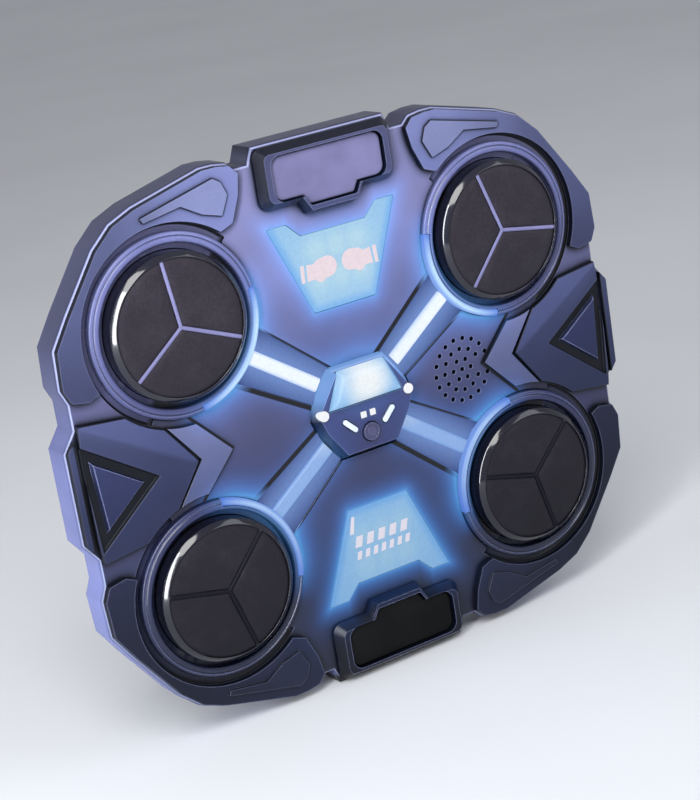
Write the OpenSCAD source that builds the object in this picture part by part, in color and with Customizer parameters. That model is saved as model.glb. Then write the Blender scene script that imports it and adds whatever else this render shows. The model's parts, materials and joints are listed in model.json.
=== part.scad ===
// Wall-hung boxing pad: four sprung strike pads around a lit hub, in a two-piece housing.
// Every sub-part is drawn as seen from the front: x to the right, y up, z out from the wall.
// hang() then stands the drawing up, so that the wall is the XZ plane and the front faces -Y.

/* [Housing] */
// Half of the overall width, at the side bumpers
half_w = 154.5; // [153:0.5:160]
// Half of the overall height, at the grip blocks
half_h = 133.5; // [132:0.5:138]
// Height of the parting line between the rear and front shells
split_z = 14; // [12:0.5:15]
// Height of the main front face
face_z = 30; // [29:0.5:31]
// Thickness of the front face
face_t = 3.4; // [3.2:0.1:3.8]
// Thickness of the shell walls and of the rear floor
wall_t = 2.4; // [1.8:0.1:2.8]
// How far the back of the rear shell draws in from the outline
rear_draft = 9; // [6:0.5:10]
// Width of the chamfer along the front edge of the housing
edge_chamfer = 1.2; // [0.8:0.1:1.6]

/* [Strike pads] */
// Distance of each pad's centre from the middle, sideways
pad_x = 90; // [88:0.5:92]
// Distance of each pad's centre from the middle, up or down
pad_y = 64; // [63:0.5:66]
// Radius of a strike pad
pad_r = 34.5; // [33:0.5:34.5]
// Height of a strike pad's top at rest
pad_top_z = 38; // [37:0.5:40]
// How far a strike pad travels when it is punched
pad_travel = 3; // [1:0.5:3.5]
// Inner radius of the bezel around a pad
bezel_r_in = 37.5; // [37:0.1:38]
// Outer radius of the bezel around a pad
bezel_r_out = 43; // [42:0.5:43.5]
// Outer radius of the trench around the bezel
trench_r = 46.5; // [46:0.5:47]
// Half of the angle that the trench covers, on the side of a pad away from the hub
trench_half_angle = 100; // [90:1:120]

/* [Lights] */
// Half of the angle that a bezel's light arc covers
arc_half_angle = 46; // [30:1:60]
// Half of the width of an arm's light bar
bar_half_w = 3.5; // [2:0.25:4]
// Distance from the middle at which a light bar starts
bar_start = 27; // [26:0.5:30]
// Thickness of the tray under the light bars
tray_t = 0.6; // [0.4:0.1:0.8]

/* [Hub] */
// Height of the flat part of the hub
hub_top_z = 35; // [34:0.5:36]
// Height of the hub's light dome
dome_top_z = 39.5; // [37:0.5:41]
// Radius of the power button
power_r = 4.5; // [3.5:0.1:4.5]
// How far the power button travels
power_travel = 1; // [0.5:0.1:1]
// How far the minus and plus keys travel
key_travel = 0.8; // [0.4:0.1:0.8]

/* [Wall strips] */
// Length of a hook-and-loop strip
strip_l = 160; // [100:5:180]
// Width of a hook-and-loop strip
strip_w = 25; // [15:1:30]
// Thickness of one layer of a hook-and-loop strip
strip_t = 1.5; // [1:0.1:1.8]

/* [Hidden] */
$fn = 48;
// Overlap that keeps a cut clear of the face it opens
cut = 1;
// Gap beside a plate that sits in a recess
slack = 0.25;
// Gap between a moving piece and its neighbours
play = 0.35;

// The four pads: name, side, level and the angle of the Y rib's first leg
PADS = [
    ["tl", -1, 1, 97],
    ["tr", 1, 1, 109],
    ["bl", -1, -1, 47],
    ["br", 1, -1, 45]
];
SIDES = [["left", -1], ["right", 1]];
LEVELS = [["top", 1], ["bottom", -1]];

function named(stem, rows) = [for (row = rows) str(stem, "_", row[0])];

// Heights
rear_z = 2 * strip_t;
floor_z = rear_z + wall_t;
face_under_z = face_z - face_t;
recess_z = face_z - 1.8;
tray_top_z = recess_z + tray_t;
guard_top_z = face_z + 3;
grip_top_z = face_z + 6;
bezel_top_z = face_z + 3;
board_z = 16;
board_t = 1.6;
switch_h = 3.6;

// Plan sizes
arm_angle = atan2(pad_y, pad_x);
pad_reach = norm([pad_x, pad_y]);
bar_end = pad_reach - bezel_r_out - slack;
channel_start = 20;
channel_half_start = 9.2;
channel_half_end = 13.5;
lip_r = pad_r + play;
flange_r = lip_r + 2;
flange_t = 2;
flange_z = face_under_z - 0.3 - flange_t;
carrier_t = 3;
carrier_top_z = pad_top_z - 1.5;
carrier_under_z = carrier_top_z - carrier_t;
rib_half_w = 1;
rim_w = 2.8;
rim_bevel_w = 2.2;
rim_bevel_h = 1.9;
spring_r = 9.2;
spring_wire_r = 0.7;
spring_turns = 5;
stem_r = 3.5;
speaker_x = 60;
speaker_r = 18;
grille_hole_r = 1.2;
grille_pitch = 5.2;

// Screws: shank and head radii, and where they go
screw_r = 1.4;
screw_head_r = 2.8;
screw_head_h = 2;
boss_r = 4.2;
screw_spots = [[44, 102], [134, 12]];
board_spots = [[28, 8]];
board_size = [64, 52];

// The lit panels' boards: fixing screws, size and height, and the lights on every board
panel_spots = [[29, 72]];
panel_board = [66, 24];
panel_board_t = 1.2;
panel_board_z = face_under_z - 6;
light_size = [3.5, 3.5];
light_t = 1.4;

// Outline of the housing in the quadrant x > 0, y > 0, from the grip block down to the side
quarter = [
    [36.5, half_h], [39.5, 126], [46, 126], [50, 129.6], [57, 130.7], [64, 130.7],
    [100.5, 121.6], [112.5, 116.6], [123, 107.2], [141, 82.2], [150, 68.4], [151, 50],
    [148, 43], [148, 31], [half_w, 22]
];

// Outline of a corner guard, in the same quadrant; its inner edge is cut by the trench
guard_points = [
    [50, 128.3], [57, 129.4], [64, 129.4], [100, 120.3], [112, 115.4], [122, 106.4],
    [140, 81.4], [148.7, 68], [149.7, 50.2], [146.6, 43.6], [138, 42], [pad_x, pad_y],
    [66, 98], [57, 101], [53, 102.6], [48, 114], [46, 124]
];
plateau_points = [
    [60, 125], [99, 115.8], [97.5, 113], [78, 116], [68, 110], [58, 107], [53.5, 116], [56, 122.5]
];

// Side pieces, on the right: the chevron, the guard around it and the triangle
chevron_points = [[92, 20.5], [72.5, 0], [92, -20.5], [105, -20.5], [89.5, 0], [105, 20.5]];
side_points = [
    [91, 0], [112, 29], [146.5, 33], [147.5, 22], [147.5, -22], [146.5, -33], [112, -29]
];
bumper_points = [[149.6, 26.5], [half_w - 1.3, 22], [half_w - 1.3, -22], [149.6, -26.5]];
triangle_points = [[144, 16], [119, -1], [142, -19]];

// Light pieces, at the top
score_points = [
    [-35, 94], [-17, 50], [17, 50], [35, 94], [25, 94], [18, 87], [-18, 87], [-25, 94]
];
hub_points = [
    [16, 22], [-16, 22], [-27, 6], [-29, -1], [-26, -9], [-16, -24],
    [16, -24], [26, -9], [29, -1], [27, 6]
];
dome_points = [[13, 20.5], [-13, 20.5], [-21, 2.5], [21, 2.5]];
hub_window = [26, 20];
hub_window_y = -11;
power_y = -13;
key_middle = [11, -7.2];
key_half_l = 3.4;
key_half_w = 1.3;

// Grip block, at the top: the block, its tab and the panel in it
grip_half_w = 37;
grip_low_y = 103;
grip_high_y = half_h - edge_chamfer - 0.1;
grip_tab_y = 97.2;
grip_round = 5;
grip_lean = 3.2;

// --- Helpers ---

function flip(points) = [for (i = [len(points) - 1:-1:0]) points[i]];
function mirror_x(points) = [for (p = flip(points)) [-p[0], p[1]]];
function mirror_y(points) = [for (p = flip(points)) [p[0], -p[1]]];

// The whole outline, counter-clockwise
outline = concat(
    flip(quarter), mirror_x(flip(quarter)),
    mirror_y(mirror_x(flip(quarter))), mirror_y(flip(quarter))
);

function unit(v) = v / norm(v);
function inward(a, b) = let (d = unit(b - a)) [-d[1], d[0]];

// A counter-clockwise outline with every edge moved inward by d
function inset(points, d) = [
    for (i = [0:len(points) - 1])
        let (
            before = points[(i + len(points) - 1) % len(points)],
            after = points[(i + 1) % len(points)],
            m = inward(before, points[i]),
            n = inward(points[i], after)
        )
        points[i] + d * (m + n) / (1 + m * n)
];

function raised(points, z) = [for (p = points) [p[0], p[1], z]];

// A solid with flat sloping sides between two rings of the same count, both seen from the middle
module frustum(low, high, z_low, z_high) {
    n = len(low);
    sides = [for (i = [0:n - 1]) let (j = (i + 1) % n) [i, i + n, j + n, j]];
    base = [for (i = [0:n - 1]) [2 * n, i, (i + 1) % n]];
    top = [for (i = [0:n - 1]) [2 * n + 1, (i + 1) % n + n, i + n]];
    polyhedron(
        points = concat(raised(low, z_low), raised(high, z_high), [[0, 0, z_low], [0, 0, z_high]]),
        faces = concat(sides, base, top)
    );
}

// Stands the front view up against the wall
module hang() {
    rotate([90, 0, 0]) children();
}

module plate(points, z_low, z_high) {
    translate([0, 0, z_low]) linear_extrude(z_high - z_low) polygon(points);
}

module rod(r, z_low, z_high) {
    translate([0, 0, z_low]) cylinder(r = r, h = z_high - z_low);
}

module block(size, z_low, z_high) {
    translate([-size[0] / 2, -size[1] / 2, z_low]) cube([size[0], size[1], z_high - z_low]);
}

module at_pad(side, level) {
    translate([side * pad_x, level * pad_y, 0]) children();
}

// Turns a piece drawn along +x so that it points from the middle to a pad
module along_arm(side, level) {
    rotate([0, 0, atan2(level * pad_y, side * pad_x)]) children();
}

module in_quadrant(side, level) {
    mirror([side < 0 ? 1 : 0, 0, 0]) mirror([0, level < 0 ? 1 : 0, 0]) children();
}

module four_ways(spots) {
    for (spot = spots, side = [-1, 1], level = [-1, 1])
        translate([side * spot[0], level * spot[1], 0]) children();
}

// A bar with round ends, drawn along x
module round_bar(half_l, half_w, z_low, z_high) {
    block([2 * half_l, 2 * half_w], z_low, z_high);
    for (end = [-1, 1])
        translate([end * half_l, 0, 0]) rod(half_w, z_low, z_high);
}

// A plan shape with its corners rounded
module softened(r) {
    offset(r = r) offset(delta = -r) children();
}

// --- Housing ---

module rear_shell() {
    draft = rear_draft / (split_z - rear_z);
    inner_low = wall_t + draft * (split_z - floor_z);
    color("#252a45") hang() difference() {
        union() {
            difference() {
                frustum(inset(outline, rear_draft), outline, rear_z, split_z);
                frustum(
                    inset(outline, inner_low), inset(outline, wall_t - draft * cut),
                    floor_z, split_z + cut
                );
            }
            four_ways(screw_spots) rod(boss_r, floor_z - cut, split_z);
            for (pad = PADS)
                at_pad(pad[1], pad[2]) difference() {
                    rod(spring_r + 2.6, floor_z - cut, floor_z + 3);
                    rod(spring_r + 1.1, floor_z, floor_z + 3 + cut);
                }
        }
        four_ways(screw_spots) {
            rod(screw_r + 0.3, rear_z - cut, split_z + cut);
            rod(screw_head_r + 0.4, rear_z - cut, rear_z + 5);
        }
    }
}

module arm_plan(grow) {
    polygon([
        [channel_start, -channel_half_start - grow], [bar_end + 4, -channel_half_end - grow],
        [bar_end + 4, channel_half_end + grow], [channel_start, channel_half_start + grow]
    ]);
}

// The X of light channels with the hub's seat in the middle
module cross_plan(grow) {
    difference() {
        union() {
            for (pad = PADS)
                along_arm(pad[1], pad[2]) arm_plan(grow);
            offset(delta = grow) polygon(hub_points);
        }
        for (pad = PADS)
            at_pad(pad[1], pad[2]) circle(r = bezel_r_out + slack - grow);
    }
}

module light_slots(z_low, z_high) {
    for (pad = PADS)
        along_arm(pad[1], pad[2])
            translate([(bar_start + bar_end) / 2, 0, 0])
                block([bar_end - bar_start - 6, 2 * bar_half_w - 1], z_low, z_high);
    translate([0, hub_window_y, 0]) block(hub_window, z_low, z_high);
    translate([0, 11, 0]) block([20, 10], z_low, z_high);
}

// Rings of sound holes, left out where the chevron covers them
module grille_holes() {
    for (ring = [0:3], i = [0:max(1, 6 * ring) - 1]) {
        turn = 60 * i / max(1, ring);
        x = ring * grille_pitch * cos(turn);
        y = ring * grille_pitch * sin(turn);
        if (speaker_x + x < chevron_points[1][0] + 0.95 * abs(y) - 2.6)
            translate([speaker_x + x, y, 0]) rod(grille_hole_r, face_under_z - cut, face_z + cut);
    }
}

// The trench round the side of a pad away from the hub
module trench_cut(side, level) {
    at_pad(side, level) along_arm(side, level)
        rotate([0, 0, -trench_half_angle])
            rotate_extrude(angle = 2 * trench_half_angle)
                translate([bezel_r_out - 1, recess_z])
                    square([trench_r - bezel_r_out + 1, face_z - recess_z + cut]);
}

module usb_cut() {
    translate([0, -half_h, 19]) rotate([90, 0, 0]) round_bar(3.1, 1.85, -wall_t - 3, cut);
}

module front_shell() {
    color("#3b3f63") hang() {
        difference() {
            union() {
                plate(outline, split_z, face_z - edge_chamfer);
                frustum(outline, inset(outline, edge_chamfer), face_z - edge_chamfer, face_z);
            }
            plate(inset(outline, wall_t), split_z - cut, face_under_z);
            translate([0, 0, recess_z]) linear_extrude(face_z) cross_plan(slack);
            light_slots(face_under_z - cut, face_z);
            for (pad = PADS) {
                at_pad(pad[1], pad[2]) {
                    rod(lip_r, face_under_z - cut, face_z);
                    rod(bezel_r_out + slack, recess_z, face_z + cut);
                }
                trench_cut(pad[1], pad[2]);
            }
            for (level = LEVELS)
                in_quadrant(1, level[1]) {
                    plate(inset(score_points, -slack), recess_z, face_z + cut);
                    plate(inset(score_points, 2.5), face_under_z - cut, face_z);
                }
            grille_holes();
            usb_cut();
        }
        four_ways(screw_spots) front_boss(split_z);
        four_ways(board_spots) front_boss(board_z + board_t);
        four_ways(panel_spots) front_boss(panel_board_z + panel_board_t);
    }
}

module front_boss(z_low) {
    difference() {
        rod(boss_r - 0.6, z_low, face_under_z);
        rod(screw_r, z_low - cut, z_low + 7.5);
    }
}

module light_tray() {
    color("#3558b8") hang() difference() {
        translate([0, 0, recess_z]) linear_extrude(tray_t) cross_plan(0);
        light_slots(recess_z - cut, face_z);
    }
}

module corner_guard(side, level) {
    color("#4b4f78") hang() in_quadrant(side, level) {
        difference() {
            translate([0, 0, face_z])
                linear_extrude(guard_top_z - face_z) softened(1.2) polygon(guard_points);
            at_pad(1, 1) rod(trench_r + 0.4, face_z - cut, guard_top_z + cut);
        }
        translate([0, 0, guard_top_z]) linear_extrude(1) softened(0.6) polygon(plateau_points);
    }
}

module side_guard(side) {
    color("#343856") hang() in_quadrant(side, 1) {
        difference() {
            plate(side_points, face_z, guard_top_z);
            plate(inset(triangle_points, -4), face_z + 1.2, guard_top_z + cut);
            for (level = [-1, 1])
                at_pad(1, level) rod(trench_r + 0.6, face_z - cut, guard_top_z + cut);
        }
        plate(bumper_points, face_z, guard_top_z - 0.5);
    }
}

module triangle_insert(side) {
    color("#1f2339") hang() in_quadrant(side, 1)
        frustum_of(triangle_points, 1.2, face_z + 1.2, guard_top_z + 0.6);
}

// A flat-topped wedge over a convex outline that need not surround the origin
module frustum_of(points, lean, z_low, z_high) {
    middle = (points[0] + points[1] + points[2]) / 3;
    local = [for (p = points) p - middle];
    translate([middle[0], middle[1], 0]) frustum(local, inset(local, lean), z_low, z_high);
}

module chevron(side) {
    color("#7d83b4") hang() in_quadrant(side, 1) difference() {
        plate(chevron_points, face_z, face_z + 2);
        plate([[90.4, 0], [120, 41], [120, -41]], face_z - cut, face_z + 3);
        for (level = [-1, 1])
            at_pad(1, level) rod(trench_r + 0.3, face_z - cut, face_z + 3);
    }
}

module grip_plan(inward_by) {
    softened(grip_round - min(inward_by / 2, 2)) {
        translate([-grip_half_w + inward_by, grip_low_y + inward_by])
            square([2 * (grip_half_w - inward_by), grip_high_y - grip_low_y - 2 * inward_by]);
    }
}

module tab_plan(inward_by) {
    polygon([
        [-20 + inward_by, grip_low_y + 6], [-14 + inward_by, grip_tab_y + inward_by],
        [14 - inward_by, grip_tab_y + inward_by], [20 - inward_by, grip_low_y + 6]
    ]);
}

module panel_plan(grow) {
    offset(delta = grow) {
        softened(5) translate([-30.5, 106.2]) square([61, grip_high_y - 4.8 - 106.2]);
        softened(1.5) polygon([[-17, 110], [-12.5, 101.4], [12.5, 101.4], [17, 110]]);
    }
}

module grip_frame(level) {
    color("#54588a") hang() in_quadrant(1, level) difference() {
        union() {
            hull() {
                translate([0, 0, face_z]) linear_extrude(1.5) grip_plan(0);
                translate([0, 0, grip_top_z - 0.2]) linear_extrude(0.2) grip_plan(grip_lean);
            }
            hull() {
                translate([0, 0, face_z]) linear_extrude(1.5) tab_plan(0);
                translate([0, 0, grip_top_z - 0.2]) linear_extrude(0.2) tab_plan(1.6);
            }
        }
        translate([0, 0, face_z - cut]) linear_extrude(grip_top_z) panel_plan(slack);
    }
}

module grip_panel(level) {
    color(level > 0 ? "#8a89b8" : "#16182a") hang() in_quadrant(1, level)
        translate([0, 0, face_z]) linear_extrude(4) panel_plan(0);
}

// --- Lights ---

module ring_profile(r_in, r_out, z_low, z_high, bevel) {
    polygon([
        [r_in, z_low], [r_out, z_low], [r_out, z_high - bevel],
        [r_out - bevel, z_high], [r_in + bevel, z_high], [r_in, z_high - bevel]
    ]);
}

module pad_bezel(side, level) {
    lens_r_in = bezel_r_out - 3.5;
    color("#2b2f4c") hang() at_pad(side, level) difference() {
        rotate_extrude()
            ring_profile(bezel_r_in, bezel_r_out, recess_z, bezel_top_z, 1);
        along_arm(side, level) rotate([0, 0, 180 - arc_half_angle])
            rotate_extrude(angle = 2 * arc_half_angle)
                translate([lens_r_in, recess_z + 1]) square([cut + 3.5, bezel_top_z]);
    }
}

module arc_lens(side, level) {
    color("#8ec3ff") hang() at_pad(side, level) along_arm(side, level)
        rotate([0, 0, 180.5 - arc_half_angle])
            rotate_extrude(angle = 2 * arc_half_angle - 1)
                ring_profile(bezel_r_out - 3.3, bezel_r_out, recess_z + 1, bezel_top_z + 0.3, 0.9);
}

module arm_lens(side, level) {
    top = bar_half_w - 0.9;
    color("#dcebff") hang() along_arm(side, level)
        translate([bar_start, 0, tray_top_z]) rotate([90, 0, 90])
            linear_extrude(bar_end - bar_start)
                polygon([
                    [-bar_half_w, 0], [bar_half_w, 0], [bar_half_w, 1.1],
                    [top, 1.9], [-top, 1.9], [-bar_half_w, 1.1]
                ]);
}

module score_lens(level) {
    color("#9cd2ff") hang() in_quadrant(1, level) plate(score_points, recess_z, face_z + 0.8);
}

// --- Hub ---

module at_key(side) {
    translate([side * key_middle[0], key_middle[1], 0]) rotate([0, 0, side * 45]) children();
}

module hub_shell() {
    color("#4d55a0") hang() {
        difference() {
            frustum(hub_points, inset(hub_points, 3), tray_top_z, hub_top_z);
            frustum(inset(hub_points, 2.6), inset(hub_points, 5), tray_top_z - cut, hub_top_z - 2.5);
            plate(inset(dome_points, -slack), hub_top_z - 1.2, hub_top_z + cut);
            translate([0, power_y, 0]) rod(power_r + play, face_z, hub_top_z + cut);
            for (side = [-1, 1]) {
                at_key(side) round_bar(key_half_l, key_half_w + play, face_z, hub_top_z + cut);
                translate([side * 2.6, -4, 0]) block([3.1, 3.1], hub_top_z - 1, hub_top_z + cut);
                translate([side * 24.2, 1.5, 0]) rod(2.6, hub_top_z - 4, hub_top_z + cut);
            }
        }
    }
}

module hub_dome() {
    middle = [0, 11];
    local = [for (p = dome_points) p - middle];
    color("#e6f1ff") hang() translate([middle[0], middle[1], 0]) {
        frustum(local, inset(local, 1), hub_top_z - 1.2, hub_top_z + 2);
        frustum(inset(local, 1), inset(local, 4), hub_top_z + 2, dome_top_z);
    }
}

module hub_indicators() {
    color("#ffffff") hang() for (side = [-1, 1]) {
        translate([side * 2.6, -4, 0]) block([3, 3], hub_top_z - 1, hub_top_z + 0.4);
        translate([side * 24.2, 1.5, 0]) rod(2.5, hub_top_z - 4, hub_top_z + 0.8);
    }
}

module power_button() {
    color("#5a62ad") hang() translate([0, power_y, 0]) {
        difference() {
            rod(power_r, hub_top_z - 3, hub_top_z + 1.2);
            difference() {
                rod(power_r - 1, hub_top_z + 0.8, hub_top_z + 1.2 + cut);
                rod(power_r - 1.8, hub_top_z, hub_top_z + 1.2 + cut);
            }
        }
        rod(power_r + 0.7, hub_top_z - 4, hub_top_z - 2.8);
        rod(2, board_z + board_t + switch_h + 0.3 + power_travel, hub_top_z - 3.5);
    }
}

module speed_key(side) {
    color("#dfe8ff") hang() at_key(side) {
        round_bar(key_half_l, key_half_w, hub_top_z - 3, hub_top_z + 0.9);
        round_bar(key_half_l, key_half_w + 0.6, hub_top_z - 4, hub_top_z - 2.8);
        rod(1.2, board_z + board_t + switch_h + 0.3 + key_travel, hub_top_z - 3.5);
    }
}

module minus_key() {
    speed_key(-1);
}

module plus_key() {
    speed_key(1);
}

// --- Strike pads ---

module three_ribs(half_w, turn, z_low, z_high) {
    for (leg = [0:2])
        rotate([0, 0, turn + 120 * leg])
            translate([0, -half_w, z_low])
                cube([pad_r - rim_bevel_w, 2 * half_w, z_high - z_low]);
}

module strike_pad(side, level, turn) {
    stem_low = floor_z + board_t + switch_h + 0.3 + pad_travel;
    color("#34364a") hang() at_pad(side, level) {
        difference() {
            union() {
                rod(pad_r, flange_z, pad_top_z - rim_bevel_h);
                translate([0, 0, pad_top_z - rim_bevel_h])
                    cylinder(r1 = pad_r, r2 = pad_r - rim_bevel_w, h = rim_bevel_h);
                rod(flange_r, flange_z, flange_z + flange_t);
            }
            rod(pad_r - 2.2, flange_z - cut, carrier_under_z);
            rod(pad_r - rim_w, carrier_top_z, pad_top_z + cut);
        }
        three_ribs(rib_half_w, turn, carrier_top_z - cut, pad_top_z - 0.2);
        rod(stem_r, stem_low, carrier_under_z + cut);
        difference() {
            rod(spring_r + 2.6, carrier_under_z - 3, carrier_under_z + cut);
            rod(spring_r + 1.1, carrier_under_z - 3 - cut, carrier_under_z);
        }
    }
}

module strike_skin(side, level, turn) {
    color("#2b2a30") hang() at_pad(side, level) difference() {
        rod(pad_r - rim_w - 0.1, carrier_top_z, pad_top_z - 0.1);
        three_ribs(rib_half_w + 0.1, turn, carrier_top_z - cut, pad_top_z + cut);
    }
}

// Compression spring: a six-sided wire swept along a helix
module pad_spring(side, level) {
    sections = 16 * spring_turns;
    sides = 6;
    low = floor_z + spring_wire_r;
    rise = carrier_under_z - floor_z - 2 * spring_wire_r;
    wire = [
        for (i = [0:sections], k = [0:sides - 1])
            let (
                turn = 360 * spring_turns * i / sections,
                r = spring_r + spring_wire_r * cos(60 * k)
            )
            [r * cos(turn), r * sin(turn), low + rise * i / sections + spring_wire_r * sin(60 * k)]
    ];
    skin = [
        for (i = [0:sections - 1], k = [0:sides - 1])
            let (a = i * sides + k, b = i * sides + (k + 1) % sides)
            [a, a + sides, b + sides, b]
    ];
    ends = [
        [for (k = [0:sides - 1]) k],
        [for (k = [sides - 1:-1:0]) sections * sides + k]
    ];
    color("silver") hang() at_pad(side, level) polyhedron(points = wire, faces = concat(skin, ends));
}

module pad_switches() {
    color("#2f6b3c") hang() for (pad = PADS)
        at_pad(pad[1], pad[2]) {
            block([12, 12], floor_z, floor_z + board_t);
            block([6, 6], floor_z + board_t, floor_z + board_t + switch_h - 0.6);
            rod(1.7, floor_z + board_t, floor_z + board_t + switch_h);
        }
}

// --- Electronics ---

module tact_switch() {
    block([6, 6], board_z + board_t, board_z + board_t + switch_h - 0.6);
    rod(1.2, board_z + board_t, board_z + board_t + switch_h);
}

module main_board() {
    color("#1f5a34") hang() {
        difference() {
            block(board_size, board_z, board_z + board_t);
            four_ways(board_spots) rod(screw_r + 0.3, board_z - cut, board_z + board_t + cut);
        }
        translate([0, power_y, 0]) tact_switch();
        for (side = [-1, 1])
            at_key(side) tact_switch();
        translate([-8, 8, 0]) block([14, 14], board_z - 2, board_z);
        translate([14, 6, 0]) block([8, 6], board_z - 1.6, board_z);
        translate([16, -10, 0]) block([10, 8], board_z - 3, board_z);
    }
}

module led_boards() {
    strip_low = face_under_z - panel_board_t;
    middle = (bar_start + bar_end) / 2;
    color("#e9e9e2") hang() {
        for (pad = PADS)
            along_arm(pad[1], pad[2])
                translate([middle, 0, 0]) {
                    block([28, 8], strip_low, face_under_z);
                    for (step = [-1, 0, 1])
                        translate([9 * step, 0, 0])
                            block(light_size, face_under_z, face_under_z + light_t);
                }
        for (level = [-1, 1])
            translate([0, 72 * level, 0]) panel_lights();
    }
}

module panel_lights() {
    top = panel_board_z + panel_board_t;
    difference() {
        block(panel_board, panel_board_z, top);
        for (side = [-1, 1])
            translate([side * panel_spots[0][0], 0, 0])
                rod(screw_r + 0.3, panel_board_z - cut, top + cut);
    }
    for (x = [-11, 0, 11], y = [-7, 7])
        translate([x, y, 0]) block(light_size, top, top + light_t);
}

module battery_cell() {
    color("#3f7fbf") hang() translate([-108, 0, floor_z + 10.5]) rotate([0, 90, 0])
        cylinder(r = 9, h = 65);
}

module battery_cradle() {
    color("#1b1d26") hang() translate([-75.5, 0, 0]) difference() {
        block([72, 24], floor_z, floor_z + 11);
        translate([-32.7, 0, floor_z + 10.5]) rotate([0, 90, 0]) cylinder(r = 9.1, h = 65.4);
    }
}

module speaker_driver() {
    color("#2c2d33") hang() translate([speaker_x, 0, 0]) {
        difference() {
            rod(speaker_r, face_under_z - 2.5, face_under_z);
            rod(speaker_r - 2.5, face_under_z - 1.6, face_under_z + cut);
        }
        translate([0, 0, face_under_z - 7.5]) cylinder(r1 = 9, r2 = speaker_r - 2, h = 5.2);
        rod(9, face_under_z - 11, face_under_z - 7);
    }
}

module usb_socket() {
    shell_l = 7.3;
    color("silver") hang() translate([0, -half_h + 0.6, 19]) rotate([-90, 0, 0]) difference() {
        round_bar(2.9, 1.6, 0, shell_l);
        round_bar(2.75, 1.25, -cut, shell_l - cut);
    }
    color("#1f5a34") hang() translate([0, -half_h + 9, 0]) block([18, 10], 15.8, 17.4);
}

module screw(z_low, length) {
    difference() {
        union() {
            rod(screw_head_r, z_low, z_low + screw_head_h);
            rod(screw_r - 0.05, z_low, z_low + length);
        }
        block([3.4, 0.8], z_low - cut, z_low + 1);
        block([0.8, 3.4], z_low - cut, z_low + 1);
    }
}

module screws() {
    color("silver") hang() {
        four_ways(screw_spots) screw(rear_z + 3, 15);
        four_ways(board_spots) screw(board_z - screw_head_h, 8);
        four_ways(panel_spots) screw(panel_board_z - screw_head_h, 7);
    }
}

// --- Wall strips ---

module strips(z_low) {
    for (y = [-80, 0, 80])
        translate([0, y, 0]) block([strip_l, strip_w], z_low, z_low + strip_t);
}

module hook_strips() {
    color("#15151a") hang() strips(0);
}

module loop_strips() {
    color("#24242b") hang() strips(strip_t);
}

rear_shell();
front_shell();
light_tray();
hub_shell();
hub_dome();
hub_indicators();
power_button();
minus_key();
plus_key();
pad_switches();
main_board();
led_boards();
battery_cell();
battery_cradle();
speaker_driver();
usb_socket();
screws();
hook_strips();
loop_strips();

for (pad = PADS) {
    corner_guard(pad[1], pad[2]);
    pad_bezel(pad[1], pad[2]);
    arc_lens(pad[1], pad[2]);
    arm_lens(pad[1], pad[2]);
    strike_pad(pad[1], pad[2], pad[3]);
    strike_skin(pad[1], pad[2], pad[3]);
    pad_spring(pad[1], pad[2]);
}

for (side = SIDES) {
    side_guard(side[1]);
    chevron(side[1]);
    triangle_insert(side[1]);
}

for (level = LEVELS) {
    grip_frame(level[1]);
    grip_panel(level[1]);
    score_lens(level[1]);
}
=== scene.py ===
"""Looks for the wall-hung boxing pad: its pieces, materials and stage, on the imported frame."""

import functools
import json
import math

import bmesh
import bpy
from mathutils import Matrix, Quaternion, Vector


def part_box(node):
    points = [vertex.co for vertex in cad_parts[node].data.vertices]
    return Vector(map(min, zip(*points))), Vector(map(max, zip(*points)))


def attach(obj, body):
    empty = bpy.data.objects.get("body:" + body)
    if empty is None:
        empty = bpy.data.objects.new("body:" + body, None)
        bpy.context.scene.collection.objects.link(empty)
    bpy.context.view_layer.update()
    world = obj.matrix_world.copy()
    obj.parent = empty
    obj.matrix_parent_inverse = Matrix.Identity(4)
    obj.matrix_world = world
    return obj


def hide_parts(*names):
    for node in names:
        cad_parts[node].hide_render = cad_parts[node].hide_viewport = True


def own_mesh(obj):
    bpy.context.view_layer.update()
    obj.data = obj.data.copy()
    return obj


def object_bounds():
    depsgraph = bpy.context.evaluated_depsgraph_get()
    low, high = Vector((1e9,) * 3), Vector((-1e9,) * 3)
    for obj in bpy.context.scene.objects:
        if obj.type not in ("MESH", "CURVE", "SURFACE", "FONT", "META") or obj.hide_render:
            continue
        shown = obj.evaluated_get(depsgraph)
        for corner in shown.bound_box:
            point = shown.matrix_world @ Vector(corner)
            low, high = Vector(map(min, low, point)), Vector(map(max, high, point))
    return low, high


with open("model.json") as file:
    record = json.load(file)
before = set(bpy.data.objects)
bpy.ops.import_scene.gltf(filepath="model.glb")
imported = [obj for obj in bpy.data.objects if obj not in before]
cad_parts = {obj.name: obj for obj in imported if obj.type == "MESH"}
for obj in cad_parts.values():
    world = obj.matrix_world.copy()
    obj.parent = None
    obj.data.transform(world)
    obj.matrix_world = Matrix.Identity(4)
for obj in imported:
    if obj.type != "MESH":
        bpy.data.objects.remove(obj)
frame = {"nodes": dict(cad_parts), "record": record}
CAD_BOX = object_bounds()

MM = 0.001
NODES = frame["nodes"]
RECORD = frame["record"]
BODY_OF = {n: body for body, group in RECORD["behaviour"]["bodies"].items() for n in group}
PADS = ("tl", "tr", "bl", "br")
SIDES = ("left", "right")
LEVELS = ("top", "bottom")


def front(node):
    """How far out from the wall a node reaches, in metres."""
    return -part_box(node)[0].y


def back(node):
    """How far out from the wall a node starts, in metres."""
    return -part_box(node)[1].y


def middle(node):
    low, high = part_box(node)
    return (low + high) / 2


def half_size(node):
    low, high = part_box(node)
    return (high - low) / 2


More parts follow.
